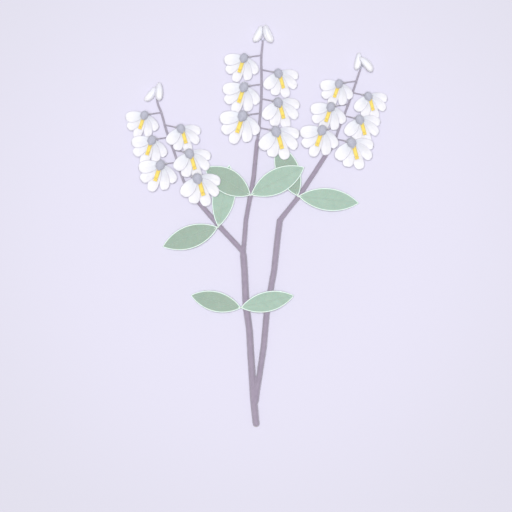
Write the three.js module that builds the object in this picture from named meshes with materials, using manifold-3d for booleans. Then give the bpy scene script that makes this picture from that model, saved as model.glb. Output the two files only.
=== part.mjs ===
import * as THREE from 'three';
import { mergeVertices } from 'three/addons/utils/BufferGeometryUtils.js';
import Module from 'manifold-3d';

// A flowering deutzia branch, cut and laid on its back, in millimetres.
// It grows along +Y, the table is the plane z = 0, and the viewer looks straight down on it.

const wasm = await Module();
wasm.setup();

const degrees = THREE.MathUtils.degToRad;

// Woody stems: each line is one ring, as x, y, z and radius.
const stemSides = 8;
const mainStemRings = [
  [-0.1, -120.9, 1.95, 1.5],
  [-0.2, -119.7, 1.95, 2.15],
  [-1.0, -112.0, 1.95, 2.2],
  [-1.7, -105.0, 1.95, 2.25],
  [-2.6, -91.0, 1.95, 2.2],
  [-3.4, -78.0, 1.95, 2.2],
  [-4.3, -62.5, 1.97, 2.15],
  [-5.8, -51.8, 2.2, 2.15],
  [-6.2, -49.0, 2.2, 2.35],
  [-6.4, -46.0, 2.25, 2.15],
  [-7.2, -27.0, 2.3, 2.1],
  [-7.9, -18.5, 2.3, 2.15],
  [-8.2, -14.6, 2.3, 1.7],
];
const sideStemRings = [
  [-1.7, -109.0, 2.0, 1.4],
  [-0.7, -105.2, 2.1, 2.2],
  [0.3, -98.5, 2.15, 1.95],
  [1.95, -89.0, 2.15, 1.85],
  [4.3, -73.0, 2.15, 1.95],
  [6.1, -52.5, 2.15, 1.95],
  [8.5, -38.4, 2.15, 1.95],
  [10.6, -26.7, 2.15, 1.95],
  [12.5, -8.7, 2.15, 1.95],
  [13.95, 3.1, 2.1, 1.95],
  [15.4, 4.95, 2.05, 1.6],
  [19.6, 10.3, 1.95, 1.5],
  [24.0, 15.7, 1.9, 1.5],
  [25.2, 17.3, 1.9, 1.75],
  [26.4, 19.0, 1.9, 1.5],
  [35.0, 32.0, 1.8, 1.5],
  [41.2, 41.7, 1.7, 1.45],
  [42.4, 43.2, 1.65, 0.95],
];
const centreBranchRings = [
  [-8.0, -18.0, 2.3, 1.4],
  [-7.3, -8.7, 2.2, 1.5],
  [-6.3, 3.9, 2.05, 1.45],
  [-4.2, 15.2, 1.95, 1.45],
  [-3.6, 18.3, 1.95, 1.7],
  [-3.1, 21.3, 1.9, 1.45],
  [-1.7, 29.0, 1.85, 1.45],
  [-0.7, 39.9, 1.8, 1.4],
  [0.4, 50.3, 1.7, 1.4],
  [0.7, 52.0, 1.65, 0.95],
];
const leftBranchRings = [
  [-7.6, -16.6, 2.3, 1.5],
  [-11.6, -11.9, 2.2, 1.65],
  [-20.6, -2.3, 2.1, 1.6],
  [-22.4, -0.3, 2.05, 1.85],
  [-24.2, 1.8, 2.0, 1.55],
  [-34.9, 14.1, 1.85, 1.5],
  [-41.4, 22.2, 1.7, 1.4],
  [-42.6, 23.8, 1.65, 0.95],
];

// Flower stalks: rings as above. The outer two dip to the table once. The short stalks of the
// two end buds, with fewer sides, stay hidden under them.
const stalkSides = 6;
const racemes = {
  left: {
    rings: [
      [-42.9, 24.2, 1.6, 0.72],
      [-45.6, 31.5, 1.2, 0.78],
      [-48.5, 41.2, 0.62, 0.78],
      [-51.4, 49.4, 0.62, 0.76],
      [-53.9, 56.2, 1.1, 0.74],
      [-57.1, 67.5, 1.5, 0.7],
      [-59.8, 75.5, 1.7, 0.6],
      [-59.6, 77.2, 1.8, 0.45],
    ],
    topFlowerY: 67.5,
    flowerStep: 7.46,
    cupReach: { left: -10.1, right: 9.5 },
    flowerScale: { left: 1, right: 1.04 },
    budStalks: [
      [[-59.7, 76.4, 1.8, 0.45], [-58.9, 80.0, 2.0, 0.4], [-58.5, 83.2, 2.9, 0.4], [-58.4, 84.5, 4.5, 0.4]],
      [[-59.6, 77.0, 1.7, 0.4], [-59.8, 80.6, 1.4, 0.4], [-60.2, 83.0, 2.1, 0.4]],
    ],
    buds: [
      { base: [-58.4, 85.9, 6.3], tip: [-58.5, 74.8, 6.7], radius: 2.35, bow: 0 },
      { base: [-60.8, 83.2, 3.6], tip: [-67.1, 74.6, 3.2], radius: 2.3, bow: 0.7 },
    ],
  },
  centre: {
    rings: [
      [0.8, 52.3, 1.6, 0.72],
      [1.6, 58.5, 1.5, 0.78],
      [2.1, 66.0, 1.45, 0.78],
      [2.8, 74.5, 1.4, 0.76],
      [3.0, 88.0, 1.4, 0.74],
      [2.9, 102.0, 1.5, 0.7],
      [3.65, 109.6, 1.7, 0.62],
      [3.75, 111.2, 1.7, 0.5],
    ],
    topFlowerY: 101.9,
    flowerStep: 8.7,
    cupReach: { left: -10.4, right: 10.0 },
    flowerScale: { left: 1.05, right: 1.05 },
    budStalks: [
      [[3.7, 110.4, 1.6, 0.45], [2.2, 113.0, 0.9, 0.4], [1.9, 116.4, 0.95, 0.4], [2.4, 119.2, 2.3, 0.4]],
      [[3.7, 110.4, 1.7, 0.45], [5.6, 113.6, 1.8, 0.4], [6.0, 117.2, 2.0, 0.4], [5.4, 119.5, 3.0, 0.4]],
    ],
    buds: [
      { base: [3.0, 120.1, 4.3], tip: [-1.7, 110.1, 4.0], radius: 2.45, bow: 0.75, flat: [-1, -3.6] },
      { base: [5.0, 120.6, 4.9], tip: [9.3, 109.7, 5.6], radius: 2.55, bow: -0.6, flat: [1, 4.0] },
    ],
  },
  right: {
    rings: [
      [42.6, 43.45, 1.6, 0.72],
      [46.2, 47.6, 1.3, 0.78],
      [48.2, 54.2, 0.85, 0.78],
      [50.8, 61.6, 0.62, 0.76],
      [53.4, 68.2, 0.62, 0.74],
      [56.3, 76.0, 1.1, 0.72],
      [59.0, 83.6, 1.5, 0.68],
      [61.7, 92.0, 1.5, 0.62],
      [62.5, 94.2, 1.4, 0.5],
    ],
    topFlowerY: 86.4,
    flowerStep: 6.95,
    cupReach: { left: -10.35, right: 9.4 },
    flowerScale: { left: 1, right: 1 },
    budStalks: [
      [[62.2, 93.4, 1.4, 0.45], [61.4, 96.4, 0.9, 0.4], [61.4, 101.0, 1.0, 0.4], [61.5, 103.3, 2.5, 0.4]],
      [[62.2, 93.4, 1.4, 0.45], [63.5, 96.4, 1.6, 0.4], [63.9, 98.2, 2.8, 0.4], [63.9, 99.8, 5.2, 0.4]],
    ],
    buds: [
      { base: [61.6, 104.0, 4.2], tip: [59.6, 93.3, 4.2], radius: 2.2, bow: 0.5 },
      { base: [61.8, 101.0, 7.9], tip: [69.9, 91.9, 6.4], radius: 2.35, bow: 0.4 },
    ],
  },
};

// Flowers: how low each cup hangs from its stalk, and how a flower is turned.
const cupDrop = { left: 1.05, right: 1.6 };
const flowerTurn = { left: degrees(-21), right: degrees(20) };
const flowerSizes = [0.86, 0.86, 0.93, 0.93, 1, 1];
const cupHeight = 8.9;
const liftOverWood = 1.6;
const flowersOverWood = 4;

// Pedicels: how far along and how much of the climb is made at each ring.
const pedicelSides = 5;
const pedicelRadius = 0.45;
const pedicelClimb = [[0, 0], [0.53, 0.07], [0.74, 0.7], [0.88, 1.02]];

// Felted calyx cup with five short teeth, its mouth tipped to the table.
const cupMouthTilt = degrees(230);
const cupLipStretch = 1.5;
const cupSectors = 10;
const cupProfile = [[0, -2.9], [1.9, -2.0], [2.7, -0.3], [2.55, 0.8], [0, -0.5]];
const toothTipHeight = 0.8;
const toothNotchHeight = 0.2;

// Petals, from the leftmost and topmost to the rightmost and lowest. Each bows to the right.
const petals = [
  { turn: degrees(60), length: 13.5, width: 7.7, tipDrop: 4.2, bow: 0 },
  { turn: degrees(29), length: 15.2, width: 6.7, tipDrop: 5.4, bow: 0 },
  { turn: 0, length: 17.4, width: 6.5, tipDrop: 6.2, bow: 0 },
  { turn: degrees(-30), length: 15.6, width: 6.2, tipDrop: 6.0, bow: 0.7 },
  { turn: degrees(-59), length: 13.7, width: 5.9, tipDrop: 5.5, bow: 0.9 },
];
const petalRootReach = 0.9;
const petalRootDrop = 1.85;
const petalRootWidth = 0.9;
const petalThickness = 0.7;
const petalCup = 0.5;
const petalRoll = 0.75;
const petalFall = 1.7;
const petalColumns = 2;
const petalRows = [0, 0.2, 0.45, 0.7, 0.9, 1];
const petalOutline = [0.15, 0.66, 0.97, 1, 0.77, 0.3];
const petalHub = { radius: 1.5, height: 1.0, sides: 6, centre: [0, -0.8, -1.93] };

// Ten stamens, five long and five short, lying together as one grooved bar that leans a little
// aside: each ring has its place along the bar, its width and its height.
const stamenCount = 10;
const stamenRoot = { left: [0.1, -1.2, -0.28], right: [0.6, -1.2, -0.33] };
const stamenTip = { left: [0.4, -9.9, -1.75], right: [-0.1, -10.1, -1.75] };
const stamenRings = [[0, 1.7, 1.1], [0.7, 1.9, 1.2], [1, 2.2, 1.4]];
const stamenGroove = 0.3;
const stamenStagger = 0.35;

// Buds: the profile is in widths and lengths of a bud.
const budSectors = 10;
const budFold = 0.93;
const budProfile = [[0, 0], [0.56, 0.1], [0.92, 0.34], [1, 0.62], [0.84, 0.87], [0, 1]];

// Leaves: base and tip of each blade, its half width, arch and the rise of its margins.
const leafRows = 8;
const leafColumns = 4;
const leafThickness = 0.7;
const leaves = {
  leaf_low_left: { base: [-9.6, -49.1, 4.2], tip: [-38.8, -41.8, 1.3], half: 5.9, arch: 1.6, fold: 0.9 },
  leaf_low_right: { base: [-9.2, -49.1, 5.2], tip: [21.8, -42.1, 2.6], half: 5.9, arch: 1.9, fold: 0.9 },
  leaf_centre_left: { base: [-3.8, 19.0, 4.2], tip: [-30.3, 35.1, 1.0], half: 7.3, arch: 0.7, fold: 0.6 },
  leaf_centre_right: { base: [-3.1, 19.0, 4.1], tip: [28.0, 35.2, 3.9], half: 7.3, arch: 1.4, fold: 0.8 },
  leaf_left_out: { base: [-23.4, -1.2, 4.4], tip: [-55.6, -12.7, 1.3], half: 6.7, arch: 1.7, fold: 0.9 },
  leaf_left_up: { base: [-22.9, -0.5, 4.7], tip: [-16.3, 35.7, 1.2], half: 6.6, arch: -1.3, fold: 0.5 },
  leaf_right_out: { base: [25.3, 17.4, 4.1], tip: [60.7, 13.3, 1.3], half: 6.6, arch: 1.7, fold: 0.9 },
  leaf_right_up: { base: [24.8, 17.9, 4.3], tip: [12.9, 48.3, 1.2], half: 6.9, arch: -1.0, fold: 0.6 },
};

// Table, and the merging of points that fall together.
const tableSize = 400;
const mergeDistance = 1e-4;

// Colours
const barkFinish = { color: 0xa99db0, roughness: 0.85, metalness: 0 };
const stalkFinish = { color: 0xb4abba, roughness: 0.85, metalness: 0 };
const petalFinish = { color: 0xfbfbfe, roughness: 0.6, metalness: 0 };
const stamenFinish = { color: 0xf3dc78, roughness: 0.6, metalness: 0 };
const leafFinish = { color: 0xafc6b6, roughness: 0.7, metalness: 0 };

// A geometry's merged triangles, without those that have shrunk to a line, as a solid.
function solidOf(geometry) {
  const bare = geometry.clone();
  bare.deleteAttribute('normal');
  bare.deleteAttribute('uv');
  const merged = mergeVertices(bare, mergeDistance);
  const corners = [];
  for (let i = 0; i < merged.index.count; i += 3) {
    const [a, b, c] = merged.index.array.slice(i, i + 3);
    if (a !== b && b !== c && c !== a) corners.push(a, b, c);
  }
  return new wasm.Manifold(new wasm.Mesh({
    numProp: 3,
    vertProperties: merged.attributes.position.array,
    triVerts: new Uint32Array(corners),
  }));
}

function fuse(geometries) {
  return geometries.map(solidOf).reduce((whole, next) => whole.add(next));
}

function geometryOf(solid) {
  const { vertProperties, triVerts } = solid.getMesh();
  const geometry = new THREE.BufferGeometry();
  geometry.setAttribute('position', new THREE.BufferAttribute(vertProperties, 3));
  geometry.setIndex(new THREE.BufferAttribute(triVerts, 1));
  geometry.computeVertexNormals();
  return geometry;
}

function namedMesh(name, solid, finish) {
  const mesh = new THREE.Mesh(geometryOf(solid), new THREE.MeshStandardMaterial(finish));
  mesh.name = name;
  return mesh;
}

// What lies below the table is pressed flat against it.
function pressedFlat(solid) {
  const table = new THREE.BoxGeometry(tableSize, tableSize, tableSize);
  table.translate(0, 0, -tableSize / 2);
  return solid.subtract(solidOf(table));
}

// A closed rod through rings of given centre and radius, with a flat facing the table.
function rod(rings, sides) {
  const geometry = new THREE.CylinderGeometry(1, 1, 1, sides, rings.length - 1);
  geometry.rotateY(Math.PI / sides);
  const centres = rings.map(([x, y, z]) => new THREE.Vector3(x, y, z));
  const up = new THREE.Vector3(0, 0, 1);
  const position = geometry.attributes.position;
  const point = new THREE.Vector3();
  for (let i = 0; i < position.count; i++) {
    point.fromBufferAttribute(position, i);
    const ring = Math.round((point.y + 0.5) * (rings.length - 1));
    const before = centres[Math.max(ring - 1, 0)];
    const after = centres[Math.min(ring + 1, centres.length - 1)];
    const forward = after.clone().sub(before).normalize();
    const side = forward.clone().cross(up).normalize();
    const top = side.clone().cross(forward);
    const radius = rings[ring][3];
    point.set(point.x * radius, 0, point.z * radius);
    const place = centres[ring].clone().addScaledVector(side, point.x).addScaledVector(top, point.z);
    position.setXYZ(i, place.x, place.y, place.z);
  }
  return geometry;
}

// A thin blade over a surface, with the same triangles above and below.
// Its rows run from root to tip, and its columns from left to right as seen from the root.
function blade(surfaceAt, rows, across, thickness) {
  const corners = [];
  const faces = [];
  const columns = across + 1;
  const faceSize = rows.length * columns;
  for (const rise of [thickness / 2, -thickness / 2]) {
    for (const along of rows) {
      for (let column = 0; column < columns; column++) {
        const point = surfaceAt(along, (2 * column) / across - 1);
        corners.push(point.x, point.y, point.z + rise);
      }
    }
  }
  const quad = (a, b, c, d) => faces.push(a, b, c, a, c, d);
  for (let row = 0; row < rows.length - 1; row++) {
    for (let column = 0; column < across; column++) {
      const a = row * columns + column;
      const b = a + 1;
      const c = b + columns;
      const d = a + columns;
      quad(a, b, c, d);
      faces.push(a + faceSize, c + faceSize, b + faceSize, a + faceSize, d + faceSize, c + faceSize);
    }
    const left = row * columns;
    const right = left + across;
    quad(left, left + columns, left + columns + faceSize, left + faceSize);
    quad(right + columns, right, right + faceSize, right + columns + faceSize);
  }
  for (let column = 0; column < across; column++) {
    const root = column;
    const end = (rows.length - 1) * columns + column;
    quad(root + 1, root, root + faceSize, root + 1 + faceSize);
    quad(end, end + 1, end + 1 + faceSize, end + faceSize);
  }
  const geometry = new THREE.BufferGeometry();
  geometry.setAttribute('position', new THREE.Float32BufferAttribute(corners, 3));
  geometry.setIndex(faces);
  return geometry;
}

// One petal of the fan: it falls from the cup, flattens, and its right edge stands over the next.
function petalBlade({ turn, length, width, tipDrop, bow }) {
  const out = new THREE.Vector3(-Math.sin(turn), -Math.cos(turn), 0);
  const across = new THREE.Vector3(-Math.cos(turn), Math.sin(turn), 0);
  const surfaceAt = (along, side) => {
    const wide = petalOutline[petalRows.indexOf(along)];
    const half = Math.max(petalRootWidth * (1 - along), width * wide) / 2;
    const reach = petalRootReach + (length - petalRootReach) * along;
    const fall = 1 - (1 - along) ** petalFall;
    const drop = petalRootDrop + (tipDrop - petalRootDrop) * fall;
    const rise = petalCup * wide * side * side + petalRoll * wide * -side;
    const offset = half * side - bow * 4 * along * (1 - along);
    return out.clone().multiplyScalar(reach).addScaledVector(across, offset).setZ(rise - drop);
  };
  return blade(surfaceAt, petalRows, petalColumns, petalThickness);
}

function corolla() {
  const { radius, height, sides, centre } = petalHub;
  const hub = new THREE.CylinderGeometry(radius, radius, height, sides);
  hub.rotateX(Math.PI / 2);
  hub.translate(...centre);
  return fuse([hub, ...petals.map(petalBlade)]);
}

function stamenBundle(side) {
  const geometry = new THREE.CylinderGeometry(1, 1, 1, 2 * stamenCount, stamenRings.length - 1);
  const root = new THREE.Vector3(...stamenRoot[side]);
  const tip = new THREE.Vector3(...stamenTip[side]);
  const position = geometry.attributes.position;
  const point = new THREE.Vector3();
  for (let i = 0; i < position.count; i++) {
    point.fromBufferAttribute(position, i);
    const ring = Math.round((0.5 - point.y) * (stamenRings.length - 1));
    const [along, width, height] = stamenRings[ring];
    const angle = Math.atan2(point.x, point.z);
    const ridge = 1 - (stamenGroove * (1 - Math.cos(stamenCount * angle))) / 2;
    const place = root.clone().lerp(tip, along);
    const offCentre = point.x ** 2 + point.z ** 2 > 0;
    if (offCentre && along === 1) place.y -= stamenStagger * Math.cos((stamenCount / 2) * angle);
    place.x += (point.x * ridge * width) / 2;
    place.z += (point.z * ridge * height) / 2;
    position.setXYZ(i, place.x, place.y, place.z);
  }
  return solidOf(geometry);
}

function calyxCup() {
  const geometry = new THREE.LatheGeometry(cupProfile.map(([r, h]) => new THREE.Vector2(r, h)), cupSectors);
  const position = geometry.attributes.position;
  for (let i = 0; i < position.count; i++) {
    const sector = Math.floor(i / cupProfile.length);
    const onRim = Math.abs(position.getY(i) - toothTipHeight) < mergeDistance;
    if (onRim && sector % 2 === 1) position.setY(i, toothNotchHeight);
  }
  geometry.rotateX(cupMouthTilt);
  for (let i = 0; i < position.count; i++) {
    if (position.getY(i) < 0) position.setY(i, position.getY(i) * cupLipStretch);
  }
  return geometry;
}

// The pedicel leaves the stalk low, then climbs into the side of the cup.
function pedicel(root, cup) {
  const rings = pedicelClimb.map(([along, climb]) => {
    const point = root.clone().lerp(cup, along);
    point.z = THREE.MathUtils.lerp(root.z, cup.z, climb);
    return [...point.toArray(), pedicelRadius];
  });
  return rod(rings, pedicelSides);
}

// Where a stalk passes a given height up the branch.
function stalkPointAt(rings, y) {
  const upper = rings.findIndex((ring) => ring[1] > y);
  const [a, b] = [rings[upper - 1], rings[upper]].map(([px, py, pz]) => new THREE.Vector3(px, py, pz));
  return a.lerp(b, (y - a.y) / (b.y - a.y));
}

// The place, turn and size of each of a raceme's flowers, from the tip down, left then right.
function flowerPlaces({ rings, topFlowerY, flowerStep, cupReach, flowerScale }) {
  return flowerSizes.map((flowerSize, index) => {
    const side = index % 2 === 0 ? 'left' : 'right';
    const size = flowerSize * flowerScale[side];
    const root = stalkPointAt(rings, topFlowerY - index * flowerStep);
    const lift = index >= flowersOverWood ? liftOverWood : 0;
    const cup = new THREE.Vector3(root.x + cupReach[side], root.y - cupDrop[side], cupHeight + lift);
    const matrix = new THREE.Matrix4().makeRotationZ(flowerTurn[side]);
    matrix.scale(new THREE.Vector3(size, size, size)).setPosition(cup);
    return { side, root, cup, matrix };
  });
}

function racemeStalk(raceme) {
  const parts = [rod(raceme.rings, stalkSides)];
  for (const rings of raceme.budStalks) parts.push(rod(rings, pedicelSides));
  for (const { root, cup, matrix } of flowerPlaces(raceme)) {
    parts.push(pedicel(root, cup));
    parts.push(calyxCup().applyMatrix4(matrix));
  }
  return pressedFlat(fuse(parts));
}

// A closed bud with five folds. It hangs from its base, bows to one side as seen from above, and
// the two buds that touch are flat where they face each other, at the given x.
function bud({ base, tip, radius, bow, flat }) {
  const from = new THREE.Vector3(...base);
  const to = new THREE.Vector3(...tip);
  const length = from.distanceTo(to);
  const profile = budProfile.map(([r, h]) => new THREE.Vector2(r * radius, h * length));
  const geometry = new THREE.LatheGeometry(profile, budSectors);
  const position = geometry.attributes.position;
  for (let i = 0; i < position.count; i++) {
    const fold = Math.floor(i / budProfile.length) % 2 === 1 ? budFold : 1;
    position.setX(i, position.getX(i) * fold);
    position.setZ(i, position.getZ(i) * fold);
  }
  const turn = new THREE.Quaternion();
  turn.setFromUnitVectors(new THREE.Vector3(0, 1, 0), to.clone().sub(from).normalize());
  const aside = new THREE.Vector3(from.y - to.y, to.x - from.x, 0).normalize();
  const point = new THREE.Vector3();
  for (let i = 0; i < position.count; i++) {
    point.fromBufferAttribute(position, i);
    const along = point.y / length;
    point.applyQuaternion(turn).add(from).addScaledVector(aside, bow * 4 * along * (1 - along));
    position.setXYZ(i, point.x, point.y, point.z);
  }
  const solid = solidOf(geometry);
  return flat ? solid.trimByPlane([flat[0], 0, 0], flat[1]) : solid;
}

function leaf({ base, tip, half, arch, fold }) {
  const from = new THREE.Vector3(...base);
  const to = new THREE.Vector3(...tip);
  const across = new THREE.Vector3(to.y - from.y, from.x - to.x, 0).normalize();
  const rows = Array.from({ length: leafRows + 1 }, (_, row) => row / leafRows);
  const surfaceAt = (along, side) => {
    const swell = 4 * along * (1 - along);
    const point = from.clone().lerp(to, along).addScaledVector(across, half * swell * side);
    point.z += swell * (arch + fold * side * side);
    return point;
  };
  return solidOf(blade(surfaceAt, rows, leafColumns, leafThickness));
}

function woodyStem() {
  const parts = [mainStemRings, sideStemRings, centreBranchRings, leftBranchRings];
  return pressedFlat(fuse(parts.map((rings) => rod(rings, stemSides))));
}

const branch = new THREE.Group();
branch.add(namedMesh('woody_stem', woodyStem(), barkFinish));
const corollaSolid = corolla();
const stamenSolids = { left: stamenBundle('left'), right: stamenBundle('right') };
for (const [name, raceme] of Object.entries(racemes)) {
  branch.add(namedMesh(`raceme_stalk_${name}`, racemeStalk(raceme), stalkFinish));
  flowerPlaces(raceme).forEach(({ side, matrix }, index) => {
    const whiteFan = namedMesh(`corolla_${name}_${index + 1}`, corollaSolid, petalFinish);
    const yellowBar = namedMesh(`stamens_${name}_${index + 1}`, stamenSolids[side], stamenFinish);
    for (const mesh of [whiteFan, yellowBar]) {
      mesh.applyMatrix4(matrix);
      branch.add(mesh);
    }
  });
  raceme.buds.forEach((place, index) => {
    branch.add(namedMesh(`bud_${name}_${index + 1}`, bud(place), petalFinish));
  });
}
for (const [name, shape] of Object.entries(leaves)) {
  branch.add(namedMesh(name, leaf(shape), leafFinish));
}

export default branch;
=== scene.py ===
import bisect
import math
import random

import bpy
from mathutils import Matrix, Vector, noise


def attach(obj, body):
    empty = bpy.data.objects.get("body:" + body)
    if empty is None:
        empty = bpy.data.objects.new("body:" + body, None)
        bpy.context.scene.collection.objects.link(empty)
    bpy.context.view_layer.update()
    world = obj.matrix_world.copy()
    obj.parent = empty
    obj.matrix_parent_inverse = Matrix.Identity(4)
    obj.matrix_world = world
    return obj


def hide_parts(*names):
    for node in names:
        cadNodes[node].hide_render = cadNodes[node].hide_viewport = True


# A flowering deutzia branch, cut and laid on pale paper, seen from straight above.
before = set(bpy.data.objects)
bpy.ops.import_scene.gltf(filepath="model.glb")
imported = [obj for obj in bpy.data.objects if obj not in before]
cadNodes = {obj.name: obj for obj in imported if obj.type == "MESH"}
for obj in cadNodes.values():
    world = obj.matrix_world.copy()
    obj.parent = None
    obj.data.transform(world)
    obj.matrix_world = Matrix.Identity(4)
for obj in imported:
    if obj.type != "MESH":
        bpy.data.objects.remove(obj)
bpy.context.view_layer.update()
mm = 0.001
print("frame loaded:", len(cadNodes), "nodes")


# Working with pieces

def pickOnly(*pieces):
    if bpy.context.object and bpy.context.object.mode != "OBJECT":
        bpy.ops.object.mode_set(mode="OBJECT")
    bpy.ops.object.select_all(action="DESELECT")
    for piece in pieces:
        piece.select_set(True)
    bpy.context.view_layer.objects.active = pieces[0]


def selectVertices(piece, test):  # leaves the piece in edit mode with the tested vertices picked
    pickOnly(piece)
    bpy.ops.object.mode_set(mode="EDIT")
    bpy.ops.mesh.select_mode(type="VERT")
    bpy.ops.mesh.select_all(action="DESELECT")
    bpy.ops.object.mode_set(mode="OBJECT")
    for vertex in piece.data.vertices:
        vertex.select = bool(test(vertex.co))
    bpy.ops.object.mode_set(mode="EDIT")


def mergeAndTurnOut(piece, distance=1e-6):  # one skin, facing outwards
    selectVertices(piece, lambda point: True)
    bpy.ops.mesh.remove_doubles(threshold=distance)
    bpy.ops.mesh.normals_make_consistent(inside=False)
    bpy.ops.object.mode_set(mode="OBJECT")


def applyModifier(piece, kind, **settings):
    pickOnly(piece)
    modifier = piece.modifiers.new(kind.title(), kind)
    for name, value in settings.items():
        setattr(modifier, name, value)
    bpy.ops.object.modifier_apply(modifier=modifier.name)


def joinAll(pieces):
    pickOnly(*pieces)
    bpy.ops.object.join()
    return bpy.context.object


def copyOf(piece, matrix=None):
    copy = bpy.data.objects.new(piece.name, piece.data.copy())
    bpy.context.scene.collection.objects.link(copy)
    if matrix:
        copy.data.transform(matrix)
    return copy


def makeRod(name, course):  # a smooth round stalk through points of x, y, z and radius in metres
    bpy.ops.curve.primitive_bezier_curve_add()
    rod = bpy.context.object
    curve = rod.data
    curve.splines.clear()
    spline = curve.splines.new("BEZIER")
    spline.bezier_points.add(len(course) - 1)
    for knot, (x, y, z, radius) in zip(spline.bezier_points, course):
        knot.co, knot.radius = (x, y, z), radius
        knot.handle_left_type = knot.handle_right_type = "AUTO"
    curve.dimensions = "3D"
    curve.bevel_depth, curve.bevel_resolution, curve.resolution_u = 1.0, 3, 6
    curve.use_fill_caps = True
    pickOnly(rod)
    bpy.ops.object.convert(target="MESH")
    mergeAndTurnOut(rod, 0.002 * mm)
    rod.name = name
    return rod


def writePlaces(piece, name, places):  # a vector at each vertex, for the materials to read
    attribute = piece.data.attributes.new(name, "FLOAT_VECTOR", "POINT")
    attribute.data.foreach_set("vector", [part for place in places for part in place])


def finishPiece(piece, name, material, slotName, *standsFor):
    pickOnly(piece)
    bpy.ops.object.transform_apply(location=True, rotation=True, scale=True)
    bpy.ops.object.shade_smooth()
    piece.name = piece.data.name = name
    piece.data.materials.clear()
    piece.data.materials.append(material)
    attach(piece, "root")
    if standsFor:
        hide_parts(*standsFor)
    return piece


# Reading sizes from the frame

def nodePoints(node):
    return [vertex.co.copy() for vertex in cadNodes[node].data.vertices]


def endsOf(node, reach=0.9 * mm):  # the middles of the two places that lie farthest apart
    points = nodePoints(node)
    middle = sum(points, Vector()) / len(points)
    ends = [max(points, key=lambda p: (p - middle).length)]
    ends.append(max(points, key=lambda p: (p - ends[0]).length))
    near = [[p for p in points if (p - end).length < reach] for end in ends]
    return [sum(group, Vector()) / len(group) for group in near]


def nearestGap(point, node):
    return min((p - point).length for p in nodePoints(node))


# Materials

def linear(hexColour):
    parts = [int(hexColour[i:i + 2], 16) / 255 for i in (1, 3, 5)]
    return [p / 12.92 if p <= 0.04045 else ((p + 0.055) / 1.055) ** 2.4 for p in parts] + [1.0]


# An input is a value, or another node and its output. A stop is a place on the ramp and its colour.
def addNode(tree, kind, settings=None, inputs=None, stops=None):
    node = tree.nodes.new("ShaderNode" + kind)
    for name, value in (settings or {}).items():
        setattr(node, name, value)
    for socket, value in (inputs or {}).items():
        if isinstance(value, tuple) and isinstance(value[0], bpy.types.Node):
            tree.links.new(value[0].outputs[value[1]], node.inputs[socket])
        else:
            node.inputs[socket].default_value = linear(value) if isinstance(value, str) else value
    for number, (place, colour) in enumerate(stops or []):
        elements = node.color_ramp.elements
        element = elements[number] if number < 2 else elements.new(place)
        element.position, element.color = place, linear(colour)
    return node


def newMaterial(name, **shaderSettings):
    material = bpy.data.materials.new(name)
    material.use_nodes = True
    tree = material.node_tree
    shader = tree.nodes["Principled BSDF"]
    for socket, value in shaderSettings.items():
        shader.inputs[socket.replace("_", " ")].default_value = value
    return material, tree, shader


# Short hairs, the down that makes the plant feel like fine sandpaper

def scatterRoots(piece, count, seed, keep=None):  # points spread evenly over the faces that keep allows
    chance = random.Random(seed)
    mesh = piece.data
    mesh.calc_loop_triangles()
    corners = [[mesh.vertices[i].co for i in face.vertices] for face in mesh.loop_triangles]
    allowed = []
    for face, (a, b, c) in zip(mesh.loop_triangles, corners):
        if keep is None or keep((a + b + c) / 3):
            allowed.append((face.area, face.normal.copy(), a, b, c))
    running, total = [], 0.0
    for row in allowed:
        total += row[0]
        running.append(total)
    roots = []
    for _ in range(count):
        _, normal, a, b, c = allowed[min(bisect.bisect(running, chance.random() * total), len(allowed) - 1)]
        u, v = chance.random(), chance.random()
        if u + v > 1:
            u, v = 1 - u, 1 - v
        roots.append((a + (b - a) * u + (c - a) * v, normal))
    return roots


tableClearance = 0.6  # mm over the table, below which no hair grows, so that none reaches through it
hairShares = (0.6, 1.2)  # the shortest and the longest hair, as shares of the length given for the piece


def clearOfTable(point):
    return point.z > tableClearance * mm


def growDown(name, roots, values, material, slotName):
    chance = random.Random(5)
    points, faces = [], []
    for root, normal in roots:
        stray = Vector([chance.uniform(-1, 1) for _ in range(3)]) * values["lean"]
        way = (normal + stray).normalized()
        length = values["length"] * mm * chance.uniform(*hairShares)
        side = way.orthogonal().normalized() * values["radius"] * mm
        turn = Matrix.Rotation(math.tau / 3, 3, way)
        start = len(points)
        foot = root - way * values["radius"] * mm
        points += [foot + side, foot + turn @ side, foot + turn @ turn @ side, root + way * length]
        faces += [(start, start + 2, start + 1), (start, start + 1, start + 3),
                  (start + 1, start + 2, start + 3), (start + 2, start, start + 3)]
    mesh = bpy.data.meshes.new(name)
    mesh.from_pydata(points, [], faces)
    down = bpy.data.objects.new(name, mesh)
    bpy.context.scene.collection.objects.link(down)
    finishPiece(down, name, material, slotName)
    return down


# Finishes

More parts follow.
